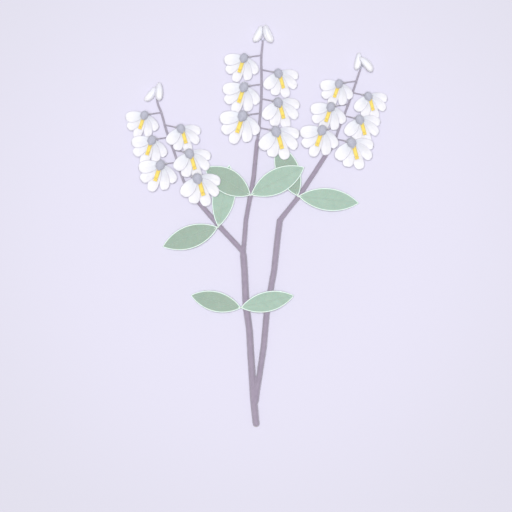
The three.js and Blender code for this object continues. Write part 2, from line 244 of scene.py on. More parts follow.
# Young bark: smooth, matt and finely downy, with faint lengthwise streaks. The cut shows pale wood round an
# open pith; the cut face is flat, and the shade down in the pith's opening is painted on it as a dark disc. Its
# fibres are finer than the picture can show, so the streaks are drawn coarser.
def youngBark():
    values = {
        "light": "#998DA0", "dark": "#8A7E92", "streak": 0.35, "mottle": 2.5, "grainDepth": 0.05,
        "cutFrom": -120.75, "cutMiddle": (-0.1, -120.9, 1.95), "cutRadius": 2.2,
        "hollowShade": "#8F857D", "pith": "#EFE8DA", "wood": "#CDC2AC",
    }
    material, tree, shader = newMaterial(
        "youngDownyBark", Roughness=0.82, Sheen_Weight=0.7, Sheen_Roughness=0.6)
    place = addNode(tree, "TexCoord")
    flow = addNode(tree, "Attribute", {"attribute_name": "barkFlow"})
    streaks = addNode(tree, "TexNoise", inputs={
        "Vector": (flow, "Vector"), "Scale": 1 / (values["streak"] * mm), "Detail": 3.0})
    mottle = addNode(tree, "TexNoise", inputs={
        "Vector": (place, "Object"), "Scale": 1 / (values["mottle"] * mm)})
    both = addNode(tree, "Mix", inputs={0: 0.5, 2: (streaks, "Fac"), 3: (mottle, "Fac")})
    bark = addNode(tree, "ValToRGB", inputs={"Fac": (both, 0)}, stops=[
        (0.3, values["dark"]), (0.7, values["light"])])
    middle = [part * mm for part in values["cutMiddle"]]
    fromMiddle = addNode(tree, "VectorMath", {"operation": "DISTANCE"}, {0: (place, "Object"), 1: middle})
    ring = addNode(tree, "MapRange", inputs={
        "Value": (fromMiddle, "Value"), "From Max": values["cutRadius"] * mm})
    # Painted shade: the dark disc in the middle of the cut stands for the shade inside the open pith.
    endGrain = addNode(tree, "ValToRGB", inputs={"Fac": (ring, "Result")}, stops=[
        (0.14, values["hollowShade"]), (0.2, values["pith"]), (0.32, values["pith"]), (0.4, values["wood"]),
        (0.8, values["wood"]), (1.0, values["light"])])
    parts = addNode(tree, "SeparateXYZ", inputs={0: (place, "Object")})
    atCut = addNode(tree, "Math", {"operation": "LESS_THAN"}, {0: (parts, "Y"), 1: values["cutFrom"] * mm})
    colour = addNode(tree, "Mix", {"data_type": "RGBA"}, {
        0: (atCut, 0), 6: (bark, "Color"), 7: (endGrain, "Color")})
    relief = addNode(tree, "Bump", inputs={"Height": (streaks, "Fac"), "Distance": values["grainDepth"] * mm})
    tree.links.new(colour.outputs[2], shader.inputs["Base Color"])
    tree.links.new(relief.outputs[0], shader.inputs["Normal"])
    return material


# Flower stalks: this year's soft growth, a little greyer than the bark. The grain stands for the feet of its
# hairs and is drawn coarser than they are.
def downyStalk():
    values = {"light": "#9E97A6", "dark": "#908999", "mottle": 1.2, "grain": 0.25, "grainDepth": 0.03}
    material, tree, shader = newMaterial(
        "downyFlowerStalk", Roughness=0.8, Sheen_Weight=0.7, Sheen_Roughness=0.6)
    place = addNode(tree, "TexCoord")
    mottle = addNode(tree, "TexNoise", inputs={
        "Vector": (place, "Object"), "Scale": 1 / (values["mottle"] * mm)})
    colour = addNode(tree, "ValToRGB", inputs={"Fac": (mottle, "Fac")}, stops=[
        (0.35, values["dark"]), (0.65, values["light"])])
    grain = addNode(tree, "TexNoise", inputs={
        "Vector": (place, "Object"), "Scale": 1 / (values["grain"] * mm)})
    relief = addNode(tree, "Bump", inputs={"Height": (grain, "Fac"), "Distance": values["grainDepth"] * mm})
    tree.links.new(colour.outputs[0], shader.inputs["Base Color"])
    tree.links.new(relief.outputs[0], shader.inputs["Normal"])
    return material


# Calyx felt: star hairs so dense that the cup looks grey and woolly. Real ones are about 0.2 mm wide, and they
# are drawn wider so that they show.
def calyxFelt():
    values = {"light": "#B9BAC7", "dark": "#AAABBA", "star": 0.35, "mottle": 1.5, "feltDepth": 0.08}
    material, tree, shader = newMaterial("calyxFelt", Roughness=0.9, Sheen_Weight=0.4, Sheen_Roughness=0.5)
    place = addNode(tree, "TexCoord")
    stars = addNode(tree, "TexVoronoi", inputs={
        "Vector": (place, "Object"), "Scale": 1 / (values["star"] * mm)})
    mottle = addNode(tree, "TexNoise", inputs={
        "Vector": (place, "Object"), "Scale": 1 / (values["mottle"] * mm)})
    both = addNode(tree, "Mix", inputs={0: 0.5, 2: (stars, "Distance"), 3: (mottle, "Fac")})
    colour = addNode(tree, "ValToRGB", inputs={"Fac": (both, 0)}, stops=[
        (0.3, values["light"]), (0.6, values["dark"])])
    relief = addNode(tree, "Bump", {"invert": True}, {
        "Height": (stars, "Distance"), "Distance": values["feltDepth"] * mm})
    tree.links.new(colour.outputs[0], shader.inputs["Base Color"])
    tree.links.new(relief.outputs[0], shader.inputs["Normal"])
    return material


# Petal: thin, soft and satin, with fine lengthwise veins and a trace of down. Its base is painted greyer, as
# painted shade from the cup and the petals over it, and a painted shade line runs along its margin where petals
# overlap and meet. The glow depth is how far light spreads inside it, in millimetres.
def petalSkin(name, base, glowDepth):
    values = {
        "middle": "#DFE0E8", "outer": "#E6E5EA", "margin": "#CCCAD6", "marginShadeWidth": 0.42, "marginShadeShare": 0.8,
        "veins": 9, "veinShare": 0.1, "veinDepth": 0.06,
    }
    material, tree, shader = newMaterial(
        name, Roughness=0.55, Sheen_Weight=0.5, Sheen_Roughness=0.5,
        Subsurface_Weight=0.4, Subsurface_Scale=glowDepth * mm, Subsurface_Radius=(1.0, 1.0, 1.0))
    place = addNode(tree, "Attribute", {"attribute_name": "petalPlace"})
    parts = addNode(tree, "SeparateXYZ", inputs={0: (place, "Vector")})  # along, side, mm from the margin
    # Painted shade: the colour greys towards the cup.
    body = addNode(tree, "ValToRGB", inputs={"Fac": (parts, "X")}, stops=[
        (0.1, base), (0.35, values["middle"]), (0.7, values["outer"])])
    turns = addNode(tree, "Math", {"operation": "MULTIPLY"}, {0: (parts, "Y"), 1: values["veins"] * math.pi})
    ridge = addNode(tree, "Math", {"operation": "SINE"}, {0: (turns, 0)})
    veinTone = addNode(tree, "MapRange", inputs={
        "Value": (ridge, 0), "From Min": 0.5, "From Max": 1.0, "To Max": values["veinShare"]})
    veined = addNode(tree, "Mix", {"data_type": "RGBA"}, {
        0: (veinTone, "Result"), 6: (body, "Color"), 7: values["margin"]})
    # Painted shade: a grey line along the margin, for the thin shadow where petals overlap and meet.
    rim = addNode(tree, "MapRange", {"interpolation_type": "SMOOTHSTEP"}, {
        "Value": (parts, "Z"), "From Min": values["marginShadeWidth"] / 2, "From Max": values["marginShadeWidth"],
        "To Min": values["marginShadeShare"], "To Max": 0.0})
    colour = addNode(tree, "Mix", {"data_type": "RGBA"}, {
        0: (rim, "Result"), 6: (veined, 2), 7: values["margin"]})
    relief = addNode(tree, "Bump", inputs={
        "Height": (ridge, 0), "Distance": values["veinDepth"] * mm, "Strength": 0.6})
    tree.links.new(colour.outputs[2], shader.inputs["Base Color"])
    tree.links.new(relief.outputs[0], shader.inputs["Normal"])
    return material


# Stamen: a flat winged filament that carries a powdery golden anther. Pollen is far too fine to see, so its
# grain is drawn coarser.
def pollenYellow():
    values = {"filament": "#E6CD68", "anther": "#F7DC74", "grain": 0.25, "grainDepth": 0.04, "glowDepth": 0.5}
    material, tree, shader = newMaterial(
        "pollenYellow", Roughness=0.7, Subsurface_Weight=0.1, Subsurface_Scale=values["glowDepth"] * mm)
    along = addNode(tree, "Attribute", {"attribute_name": "stamenPlace"})
    parts = addNode(tree, "SeparateXYZ", inputs={0: (along, "Vector")})
    colour = addNode(tree, "ValToRGB", inputs={"Fac": (parts, "X")}, stops=[
        (0.45, values["filament"]), (0.95, values["anther"])])
    place = addNode(tree, "TexCoord")
    grain = addNode(tree, "TexNoise", inputs={
        "Vector": (place, "Object"), "Scale": 1 / (values["grain"] * mm)})
    relief = addNode(tree, "Bump", inputs={"Height": (grain, "Fac"), "Distance": values["grainDepth"] * mm})
    tree.links.new(colour.outputs[0], shader.inputs["Base Color"])
    tree.links.new(relief.outputs[0], shader.inputs["Normal"])
    return material


pairsOfVeins = 7  # on each leaf, in its colour and in its shape


# Leaf: matt sage green under a fine down, pebbled between its sunken veins. Its margin and its back are paler.
def sageLeaf(name, light, dark):
    values = {
        "back": "#B9C8BF", "vein": "#B4C7BA", "rim": "#DFEEE8", "rimWidth": 0.46, "mottle": 4.0,
        "midribWidth": 0.35, "veinWidth": 0.07, "veinShare": 0.35, "pebble": 0.4, "reliefDepth": 0.05,
        "glowDepth": 0.6,
    }
    material, tree, shader = newMaterial(
        name, Roughness=0.75, Sheen_Weight=0.2, Sheen_Roughness=0.6,
        Subsurface_Weight=0.05, Subsurface_Scale=values["glowDepth"] * mm)
    place = addNode(tree, "TexCoord")
    leafPlace = addNode(tree, "Attribute", {"attribute_name": "leafPlace"})
    spot = addNode(tree, "SeparateXYZ", inputs={0: (leafPlace, "Vector")})  # along, side, mm from the margin
    leafVein = addNode(tree, "Attribute", {"attribute_name": "leafVein"})
    vein = addNode(tree, "SeparateXYZ", inputs={0: (leafVein, "Vector")})  # mm from the midrib, vein count
    count = addNode(tree, "Math", {"operation": "MULTIPLY"}, {0: (vein, "Y"), 1: pairsOfVeins})
    offVein = addNode(tree, "Math", {"operation": "PINGPONG"}, {0: (count, 0), 1: 0.5})
    line = addNode(tree, "MapRange", {"interpolation_type": "SMOOTHSTEP"}, {
        "Value": (offVein, 0), "From Max": values["veinWidth"], "To Min": 0.6, "To Max": 0.0})
    inland = addNode(tree, "MapRange", inputs={"Value": (spot, "Z"), "From Min": 0.6, "From Max": 2.5})
    sideVeins = addNode(tree, "Math", {"operation": "MULTIPLY"}, {0: (line, "Result"), 1: (inland, "Result")})
    midrib = addNode(tree, "MapRange", {"interpolation_type": "SMOOTHSTEP"}, {
        "Value": (vein, "X"), "From Min": values["midribWidth"] * 0.4, "From Max": values["midribWidth"],
        "To Min": 1.0, "To Max": 0.0})
    veins = addNode(tree, "Math", {"operation": "MAXIMUM"}, {0: (midrib, "Result"), 1: (sideVeins, 0)})
    mottle = addNode(tree, "TexNoise", inputs={
        "Vector": (place, "Object"), "Scale": 1 / (values["mottle"] * mm), "Detail": 3.0})
    green = addNode(tree, "ValToRGB", inputs={"Fac": (mottle, "Fac")}, stops=[(0.3, dark), (0.7, light)])
    geometry = addNode(tree, "NewGeometry")
    facing = addNode(tree, "SeparateXYZ", inputs={0: (geometry, "Normal")})
    under = addNode(tree, "MapRange", inputs={
        "Value": (facing, "Z"), "From Min": -0.3, "From Max": 0.1, "To Min": 1.0, "To Max": 0.0})
    sides = addNode(tree, "Mix", {"data_type": "RGBA"}, {
        0: (under, "Result"), 6: (green, "Color"), 7: values["back"]})
    veinTone = addNode(tree, "Math", {"operation": "MULTIPLY"}, {0: (veins, 0), 1: values["veinShare"]})
    veined = addNode(tree, "Mix", {"data_type": "RGBA"}, {0: (veinTone, 0), 6: (sides, 2), 7: values["vein"]})
    rim = addNode(tree, "MapRange", {"interpolation_type": "SMOOTHSTEP"}, {
        "Value": (spot, "Z"), "From Min": values["rimWidth"] * 0.8, "From Max": values["rimWidth"] * 1.2,
        "To Min": 1.0, "To Max": 0.0})
    colour = addNode(tree, "Mix", {"data_type": "RGBA"}, {
        0: (rim, "Result"), 6: (veined, 2), 7: values["rim"]})
    pebbles = addNode(tree, "TexVoronoi", inputs={
        "Vector": (place, "Object"), "Scale": 1 / (values["pebble"] * mm)})
    height = addNode(tree, "Math", {"operation": "MULTIPLY_ADD"}, {
        0: (veins, 0), 1: -3.0, 2: (pebbles, "Distance")})
    relief = addNode(tree, "Bump", inputs={"Height": (height, 0), "Distance": values["reliefDepth"] * mm})
    tree.links.new(colour.outputs[2], shader.inputs["Base Color"])
    tree.links.new(relief.outputs[0], shader.inputs["Normal"])
    return material


# Down: clear dry hairs that look almost white.
def paleDown(name, colour):
    values = {"tip": "#FFFFFF", "strand": 1.5}
    material, tree, shader = newMaterial(name, Roughness=0.6)
    place = addNode(tree, "TexCoord")
    strand = addNode(tree, "TexNoise", inputs={
        "Vector": (place, "Object"), "Scale": 1 / (values["strand"] * mm)})
    tone = addNode(tree, "ValToRGB", inputs={"Fac": (strand, "Fac")}, stops=[
        (0.3, colour), (1.0, values["tip"])])
    tree.links.new(tone.outputs[0], shader.inputs["Base Color"])
    return material


barkFinish = youngBark()
stalkFinish = downyStalk()
feltFinish = calyxFelt()
# The second value is the painted shade at the base: petals grey next to the cup, buds next to their stalks.
petalFinish = petalSkin("petalSatin", "#DCE0E9", 0.6)
budFinish = petalSkin("budSatin", "#DCDCE4", 2.0)
pollenFinish = pollenYellow()
leafFinishes = {
    "dull": sageLeaf("sageLeafDull", "#95A99B", "#8FA395"),
    "fresh": sageLeaf("sageLeafFresh", "#9EB6A8", "#98B0A2"),
}
petioleFinish = paleDown("paleLeafStalk", "#C6D6CC")
leafDownFinish = paleDown("leafDown", "#BDCFC4")
stemDownFinish = paleDown("stemDown", "#B5ABBE")
cupDownFinish = paleDown("cupDown", "#BFC2D2")
print("finishes mixed")


# Woody stem: one skin over all the forks

# The courses are where the wood runs, as seen from above in millimetres, so that the bark's streaks follow it.
stemValues = {
    "courses": [
        [(-0.1, -120.9), (-2.6, -91.0), (-5.8, -51.8), (-8.2, -14.6)],
        [(-1.7, -109.0), (0.3, -98.5), (6.1, -52.5), (13.95, 3.1), (24.0, 15.7), (42.4, 43.2)],
        [(-8.0, -18.0), (-6.3, 3.9), (-3.6, 18.3), (0.7, 52.0)],
        [(-7.6, -16.6), (-20.6, -2.3), (-42.6, 23.8)],
    ],
    "streakStretch": 14.0, "skin": 0.3, "softenings": 5, "regain": 0.03,
    "endMiddle": (-0.1, -121.0, 1.95), "endLength": 2.2, "endRounding": 0.75,
    "hairs": 9000, "down": {"length": 0.38, "radius": 0.035, "lean": 0.5},
}


def alongCourse(point, courses, stretch):  # across, up and, much shortened, along the nearest course
    best = None
    for course in courses:
        gone = 0.0
        for (ax, ay), (bx, by) in zip(course, course[1:]):
            start = Vector((ax, ay)) * mm
            span = Vector((bx, by)) * mm - start
            share = min(max((Vector((point.x, point.y)) - start).dot(span) / span.length_squared, 0.0), 1.0)
            offset = Vector((point.x, point.y)) - start - span * share
            if best is None or offset.length < best[0]:
                across = offset.dot(Vector((span.y, -span.x)).normalized())
                best = (offset.length, across, gone + span.length * share)
            gone += span.length
    return best[1], point.z, best[2] / stretch


def makeStem():
    stem = copyOf(cadNodes["woody_stem"])
    mergeAndTurnOut(stem)
    applyModifier(stem, "REMESH", mode="VOXEL", voxel_size=stemValues["skin"] * mm)
    applyModifier(stem, "SMOOTH", factor=0.5, iterations=stemValues["softenings"])
    applyModifier(stem, "DISPLACE", strength=stemValues["regain"] * mm, mid_level=0.0)
    middle, endLength = Vector(stemValues["endMiddle"]) * mm, stemValues["endLength"] * mm
    for vertex in stem.data.vertices:  # the cut end is worn a little round
        nearEnd = min(max((middle.y + endLength - vertex.co.y) / endLength, 0.0), 1.0)
        narrowed = (1 - (stemValues["endRounding"] * nearEnd) ** 2) ** 0.5
        vertex.co.x = middle.x + (vertex.co.x - middle.x) * narrowed
        vertex.co.z = max(middle.z + (vertex.co.z - middle.z) * narrowed, 0.0)
    flow = [alongCourse(v.co, stemValues["courses"], stemValues["streakStretch"]) for v in stem.data.vertices]
    writePlaces(stem, "barkFlow", flow)
    finishPiece(stem, "woodyStem", barkFinish, "bark", "woody_stem")
    roots = scatterRoots(stem, stemValues["hairs"], seed=11, keep=clearOfTable)
    growDown("downOnStem", roots, stemValues["down"], stemDownFinish, "bark")
    return stem


woodyStem = makeStem()
print("woody stem grown")


# Leaves

# The margins are how far a blade reaches past its solid, and the asides how far it lies to one side of it, in
# millimetres. A petiole's rows are its place along the leaf and its radius. A furrow's width is a share of the
# space between two veins, and it fades towards the margin.
leafValues = {
    "lengthSteps": 60, "widthSteps": 24, "thickness": 0.4, "fullness": 0.9, "veinSweep": 0.11,
    "marginAtTip": 0.7, "marginAtSide": 0.15, "marginAtBase": 0.25,
    "asides": {"leaf_low_left": (0.0, -0.25), "leaf_left_out": (-0.1, 0.2), "leaf_right_out": (0.1, 0.25),
               "leaf_centre_left": (0.0, -0.65), "leaf_centre_right": (0.0, -0.5),
               "leaf_low_right": (0.0, -0.15)},
    "ribDepth": 0.12, "ribWidth": 0.5, "veinDepth": 0.06, "furrowWidth": 0.12, "furrowFade": 2.0,
    "wave": 0.14, "waves": 5.0, "waveShift": 2,
    "petiole": [(0.07, 0.3), (0.02, 0.42), (0.0, 0.5)],
    "petioleFoot": 0.6, "petioleDrop": 0.15, "petioleSink": 0.5,
    "hairs": 2200, "down": {"length": 0.4, "radius": 0.03, "lean": 0.8},
    "fringe": 360, "fringeSweep": 0.5, "fringeDown": {"length": 0.4, "radius": 0.035, "lean": 0.35},
    "fresh": ("leaf_low_right", "leaf_centre_right", "leaf_right_out", "leaf_left_up"),
}


def leafSurface(node):  # the blade's middle surface, with its sizes read from the solid
    base, tip = sorted(endsOf(node), key=lambda end: nearestGap(end, "woody_stem"))
    across = Vector((tip.y - base.y, base.x - tip.x, 0)).normalized()
    middle = (base + tip) / 2
    points = nodePoints(node)
    half = max(abs((p - middle).dot(across)) for p in points)
    # The solid's heights in its middle and at its widest give its arch and its fold.
    spine = [p.z for p in points
             if abs((p - middle).dot(across)) < 0.1 * mm and (p - middle).xy.length < 0.6 * mm]
    rims = [p.z for p in points if abs((p - middle).dot(across)) > half * 0.98]
    arch = sum(spine) / len(spine) - middle.z
    fold = sum(rims) / len(rims) - middle.z - arch
    way = (tip - base).normalized()
    aside = Vector((*leafValues["asides"].get(node, (0.0, 0.0)), 0.0)) * mm
    base = base + aside - way * leafValues["marginAtBase"] * mm
    tip = tip + aside + way * leafValues["marginAtTip"] * mm
    half += leafValues["marginAtSide"] * mm

    def surface(along, side):
        swell = max(4 * along * (1 - along), 0.0)
        point = base.lerp(tip, along) + across * half * swell ** leafValues["fullness"] * side
        point.z += swell * (arch + fold * side * side)
        return point
    return surface, half, base, tip


def makeLeaf(node):
    surface, half, base, tip = leafSurface(node)
    bpy.ops.mesh.primitive_grid_add(
        x_subdivisions=leafValues["lengthSteps"], y_subdivisions=leafValues["widthSteps"], size=2)
    leaf = bpy.context.object
    places, veins = [], []
    for vertex in leaf.data.vertices:
        along, side = (vertex.co.x + 1) / 2, vertex.co.y
        swell = max(4 * along * (1 - along), 0.0)
        rib = abs(side) * half * swell / mm
        edge = (1 - abs(side)) * half * swell / mm
        veinCount = along - leafValues["veinSweep"] * abs(side) ** 0.8
        line = abs((veinCount * pairsOfVeins + 0.5) % 1 - 0.5)
        point = surface(along, side)
        sunk = leafValues["ribDepth"] * math.exp(-(rib / leafValues["ribWidth"]) ** 2)
        furrow = math.exp(-(line / leafValues["furrowWidth"]) ** 2)
        sunk += leafValues["veinDepth"] * furrow * min(edge / leafValues["furrowFade"], 1)
        beat = leafValues["waves"] * math.tau * along + (leafValues["waveShift"] if side > 0 else 0)
        ripple = leafValues["wave"] * math.sin(beat) * abs(side) ** 3
        point.z += (ripple - sunk) * swell ** 0.5 * mm
        vertex.co = point
        places.append((along, side, edge))
        veins.append((rib, veinCount, 0.0))
    writePlaces(leaf, "leafPlace", places)
    writePlaces(leaf, "leafVein", veins)
    mergeAndTurnOut(leaf, 0.01 * mm)
    applyModifier(leaf, "SOLIDIFY", thickness=leafValues["thickness"] * mm, offset=0.0)
    mergeAndTurnOut(leaf)
    tone = "fresh" if node in leafValues["fresh"] else "dull"
    finishPiece(leaf, node + "_blade", leafFinishes[tone], "leaf", node)
    roots = scatterRoots(leaf, leafValues["hairs"], seed=sum(map(ord, node)))
    growDown(node + "_down", roots, leafValues["down"], leafDownFinish, "leaf")
    chance = random.Random(len(node))
    tipwards = (tip - base).normalized() * leafValues["fringeSweep"]
    fringe = []
    for _ in range(leafValues["fringe"]):
        along, side = chance.uniform(0.02, 0.98), chance.choice((-1, 1))
        outwards = (surface(along, side) - surface(along, 0)).normalized()
        fringe.append((surface(along, side), (outwards + tipwards).normalized()))
    growDown(node + "_fringe", fringe, leafValues["fringeDown"], leafDownFinish, "leaf")
    _, foot, outwards, _ = woodyStem.closest_point_on_mesh(base)
    course = [(*(surface(along, 0) - Vector((0, 0, leafValues["petioleDrop"] * mm))), radius * mm)
              for along, radius in leafValues["petiole"]]
    sunk = foot - outwards * leafValues["petioleSink"] * mm
    course.append((*sunk, leafValues["petioleFoot"] * mm))
    finishPiece(makeRod("petiole", course), node + "_petiole", petioleFinish, "leaf", node)


for leafNode in sorted(name for name in cadNodes if name.startswith("leaf_")):
    makeLeaf(leafNode)
print("leaves grown")


# Petals: one fan of five, modelled once and copied to every flower

# The fan runs from the leftmost petal to the rightmost, with turns in degrees and sizes in millimetres.
petalValues = {
    "fan": [
        {"turn": 60, "length": 13.5, "width": 7.7, "tipDrop": 4.2, "bow": 0.0, "bluntness": 2.6},
        {"turn": 29, "length": 15.2, "width": 6.7, "tipDrop": 5.4, "bow": 0.0, "bluntness": 4.6},
        {"turn": 0, "length": 17.4, "width": 6.5, "tipDrop": 6.2, "bow": 0.0, "bluntness": 4.0},
        {"turn": -30, "length": 15.6, "width": 6.2, "tipDrop": 6.0, "bow": 0.7, "bluntness": 4.0},
        {"turn": -59, "length": 13.7, "width": 5.9, "tipDrop": 5.5, "bow": 0.9, "bluntness": 4.6},
    ],
    "rootReach": 0.9, "rootDrop": 1.6, "rootWidth": 0.9, "fall": 1.7, "cup": 0.5, "roll": 0.75,
    "lengthSteps": 28, "widthSteps": 14, "thickness": 0.3, "groove": 0.1, "grooveWidth": 0.5,
    "ruffle": 0.1, "ruffles": 11, "ruffleSlant": 2, "ruffleShift": 1.7,
    "clawWidth": 0.22, "widestAt": 0.6, "fullness": 0.72,
    "notch": 0.25, "notchAt": 0.15, "notchWidth": 0.35, "notchFrom": 12,
    "uneven": 0.25, "unevenScale": 120,
}


def petalWidthAt(along, bluntness):  # full from near the cup, then more or less blunt at the tip
    widest = petalValues["widestAt"]
    if along > widest:
        return max(1 - ((along - widest) / (1 - widest)) ** bluntness, 0.0) ** 0.5
    claw = petalValues["clawWidth"]
    return claw + (1 - claw) * math.sin(math.pi * along / widest / 2) ** petalValues["fullness"]


def makePetal(sizes, phase):
    values = petalValues
    bpy.ops.mesh.primitive_grid_add(
        x_subdivisions=values["lengthSteps"], y_subdivisions=values["widthSteps"], size=2)
    petal = bpy.context.object
    turn = math.radians(sizes["turn"])
    out = Vector((-math.sin(turn), -math.cos(turn), 0))
    across = Vector((-math.cos(turn), math.sin(turn), 0))
    places = []
    for vertex in petal.data.vertices:
        along, side = 1 - max((1 - vertex.co.x) / 2, 0.0) ** 1.5, vertex.co.y
        wide = petalWidthAt(along, sizes["bluntness"])
        half = max(values["rootWidth"] * (1 - along), sizes["width"] * wide) / 2
        reach = values["rootReach"] + (sizes["length"] - values["rootReach"]) * along
        dent = math.exp(-((side - values["notchAt"]) / values["notchWidth"]) ** 2)
        reach -= values["notch"] * dent * along ** values["notchFrom"]
        fallen = 1 - (1 - along) ** values["fall"]
        drop = values["rootDrop"] + (sizes["tipDrop"] - values["rootDrop"]) * fallen
        rise = values["cup"] * wide * side * side - values["roll"] * wide * side
        beat = values["ruffles"] * along + phase + values["ruffleSlant"] * side
        rise += values["ruffle"] * math.sin(beat) * abs(side) * wide
        rise -= values["groove"] * math.exp(-(side * half / values["grooveWidth"]) ** 2) * wide
        point = out * reach + across * (half * side - sizes["bow"] * 4 * along * (1 - along))
        vertex.co = (point.x * mm, point.y * mm, (rise - drop) * mm)
        places.append((along, side, min((1 - abs(side)) * half, (1 - along) * sizes["length"] * 0.8)))
    writePlaces(petal, "petalPlace", places)
    mergeAndTurnOut(petal, 0.005 * mm)
    applyModifier(petal, "SOLIDIFY", thickness=values["thickness"] * mm, offset=0.0)
    mergeAndTurnOut(petal)
    return petal


fanOfPetals = joinAll([makePetal(sizes, petalValues["ruffleShift"] * number)
                       for number, sizes in enumerate(petalValues["fan"])])
fanOfPetals.name = "fanOfPetals"
print("petals shaped")


# Stamens: ten winged filaments with anthers, packed into one flat-ended brush

# Places and sizes are in millimetres, seen from the cup. A filament is widest in its middle and tapers at its
# end, and an anther is pinched in its middle, which makes its two lobes.
stamenValues = {
    "root": {"left": (0.1, -1.2, -0.28), "right": (0.6, -1.2, -0.33)},
    "tip": {"left": (0.4, -10.0, -1.75), "right": (-0.1, -10.4, -1.75)}, "count": 10,
    "spreadAtRoot": (0.75, 0.34), "spreadAtTip": (0.92, 0.44), "filament": (0.34, 0.22), "shortBy": 0.7,
    "wing": {"foot": 0.8, "swell": 0.35, "taper": 0.45, "taperFrom": 0.85, "taperOver": 0.15},
    "anther": (0.34, 0.62, 0.26), "pinch": 0.25, "pinchWidth": 0.3,
}


def makeStamen(index, side):
    values = stamenValues
    angle = math.tau * index / values["count"]
    root, tip, wing = Vector(values["root"][side]), Vector(values["tip"][side]), values["wing"]
    if index % 2:
        tip = tip.lerp(root, values["shortBy"] / (tip - root).length)
    east, up = math.sin(angle), math.cos(angle)
    start = root + Vector((east * values["spreadAtRoot"][0], 0, up * values["spreadAtRoot"][1]))
    end = tip + Vector((east * values["spreadAtTip"][0], 0, up * values["spreadAtTip"][1]))
    bpy.ops.mesh.primitive_cylinder_add(vertices=8, radius=1, depth=1)
    filament = bpy.context.object
    selectVertices(filament, lambda point: True)
    bpy.ops.mesh.subdivide(number_cuts=3)
    bpy.ops.object.mode_set(mode="OBJECT")
    writePlaces(filament, "stamenPlace", [(vertex.co.z + 0.5, 0.0, 0.0) for vertex in filament.data.vertices])
    for vertex in filament.data.vertices:
        along = vertex.co.z + 0.5
        wide = wing["foot"] + wing["swell"] * math.sin(math.pi * min(along * 1.1, 1))
        wide -= wing["taper"] * max(along - wing["taperFrom"], 0) / wing["taperOver"]
        x, y = vertex.co.x * values["filament"][0] * wide, vertex.co.y * values["filament"][1]
        vertex.co = (start.lerp(end, along) + Vector((x, 0, y))) * mm
    bpy.ops.mesh.primitive_uv_sphere_add(segments=10, ring_count=6, radius=1)
    anther = bpy.context.object
    writePlaces(anther, "stamenPlace", [(1.0, 0.0, 0.0)] * len(anther.data.vertices))
    for vertex in anther.data.vertices:
        pinch = 1 - values["pinch"] * math.exp(-(vertex.co.x / values["pinchWidth"]) ** 2) * abs(vertex.co.z)
        x, y, z = values["anther"]
        vertex.co = (end + Vector((vertex.co.x * x, vertex.co.y * y, vertex.co.z * z * pinch))) * mm
    return joinAll([filament, anther])


stamenBrushes = {}
for flowerSide in ("left", "right"):
    stamens = [makeStamen(index, flowerSide) for index in range(stamenValues["count"])]
    stamenBrushes[flowerSide] = joinAll(stamens)
    mergeAndTurnOut(stamenBrushes[flowerSide])
    stamenBrushes[flowerSide].name = "stamenBrush_" + flowerSide
print("stamens shaped")


# Calyx cup: a felted dome with five short teeth, its mouth tipped to the table

# Each ring is a radius and a height in millimetres, from the closed end over the rim and down inside.
cupValues = {
    "sectors": 40,
    "rings": [(0.55, -2.85), (1.25, -2.55), (1.95, -1.95), (2.45, -1.15), (2.7, -0.3), (2.74, 0.4),
              (2.68, 1.0), (2.5, 1.35), (2.32, 1.3), (2.25, 0.6), (1.5, -0.3), (0.6, -0.5)],
    "toothFrom": 0.2, "toothDepth": 0.8, "lobes": 0.045, "tilt": 230, "lipStretch": 1.5,
    "sortFrom": (7.3, 3.1, 5.9), "hairs": 260, "down": {"length": 0.42, "radius": 0.035, "lean": 0.7},
}


def makeCup():
    values = cupValues
    radius, height = values["rings"][0]
    bpy.ops.mesh.primitive_circle_add(
        vertices=values["sectors"], radius=radius, fill_type="NGON", location=(0, 0, height))
    cup = bpy.context.object
    pickOnly(cup)
    bpy.ops.object.transform_apply(location=True)

    def onRing(point):
        return abs(point.z - height) < 1e-5 and abs(point.xy.length - radius) < 1e-4

    for wide, high in values["rings"][1:]:
        selectVertices(cup, onRing)
        bpy.ops.mesh.extrude_region_move(TRANSFORM_OT_translate={"value": (0, 0, high - height)})
        bpy.ops.transform.resize(value=(wide / radius, wide / radius, 1), center_override=(0, 0, high))
        radius, height = wide, high
        bpy.ops.object.mode_set(mode="OBJECT")
    selectVertices(cup, onRing)
    bpy.ops.mesh.delete(type="ONLY_FACE")
    selectVertices(cup, onRing)
    bpy.ops.mesh.edge_face_add()
    bpy.ops.object.mode_set(mode="OBJECT")
    for vertex in cup.data.vertices:
        # 1 on a tooth, -1 between two
        fifth = math.cos(5 * (math.atan2(vertex.co.y, vertex.co.x) - math.pi / 2))
        if vertex.co.z > values["toothFrom"]:
            cut = values["toothDepth"] * (0.5 - 0.5 * fifth) ** 0.7
            vertex.co.z -= (vertex.co.z - values["toothFrom"]) * cut
        elif vertex.co.z < 0:
            vertex.co.xy *= 1 + values["lobes"] * fifth
    mergeAndTurnOut(cup, 1e-4)
    cup.data.transform(Matrix.Scale(mm, 4) @ Matrix.Rotation(math.radians(values["tilt"] - 90), 4, "X"))
    for vertex in cup.data.vertices:
        if vertex.co.y < 0:
            vertex.co.y *= values["lipStretch"]
    # Extruding leaves the faces in another order each run, and hairs are dealt out face by face. So the faces
    # are sorted by how far they lie from a place beside the cup.
    bpy.context.scene.cursor.location = Vector(values["sortFrom"]) * mm
    selectVertices(cup, lambda point: True)
    bpy.ops.mesh.sort_elements(type="CURSOR_DISTANCE", elements={"VERT", "EDGE", "FACE"})
    bpy.ops.object.mode_set(mode="OBJECT")
    bpy.context.scene.cursor.location = (0, 0, 0)
    return cup


calyxCup = makeCup()
calyxCup.name = "calyxCup"
print("cup shaped")


# Racemes: a stalk with six nodding flowers and two buds

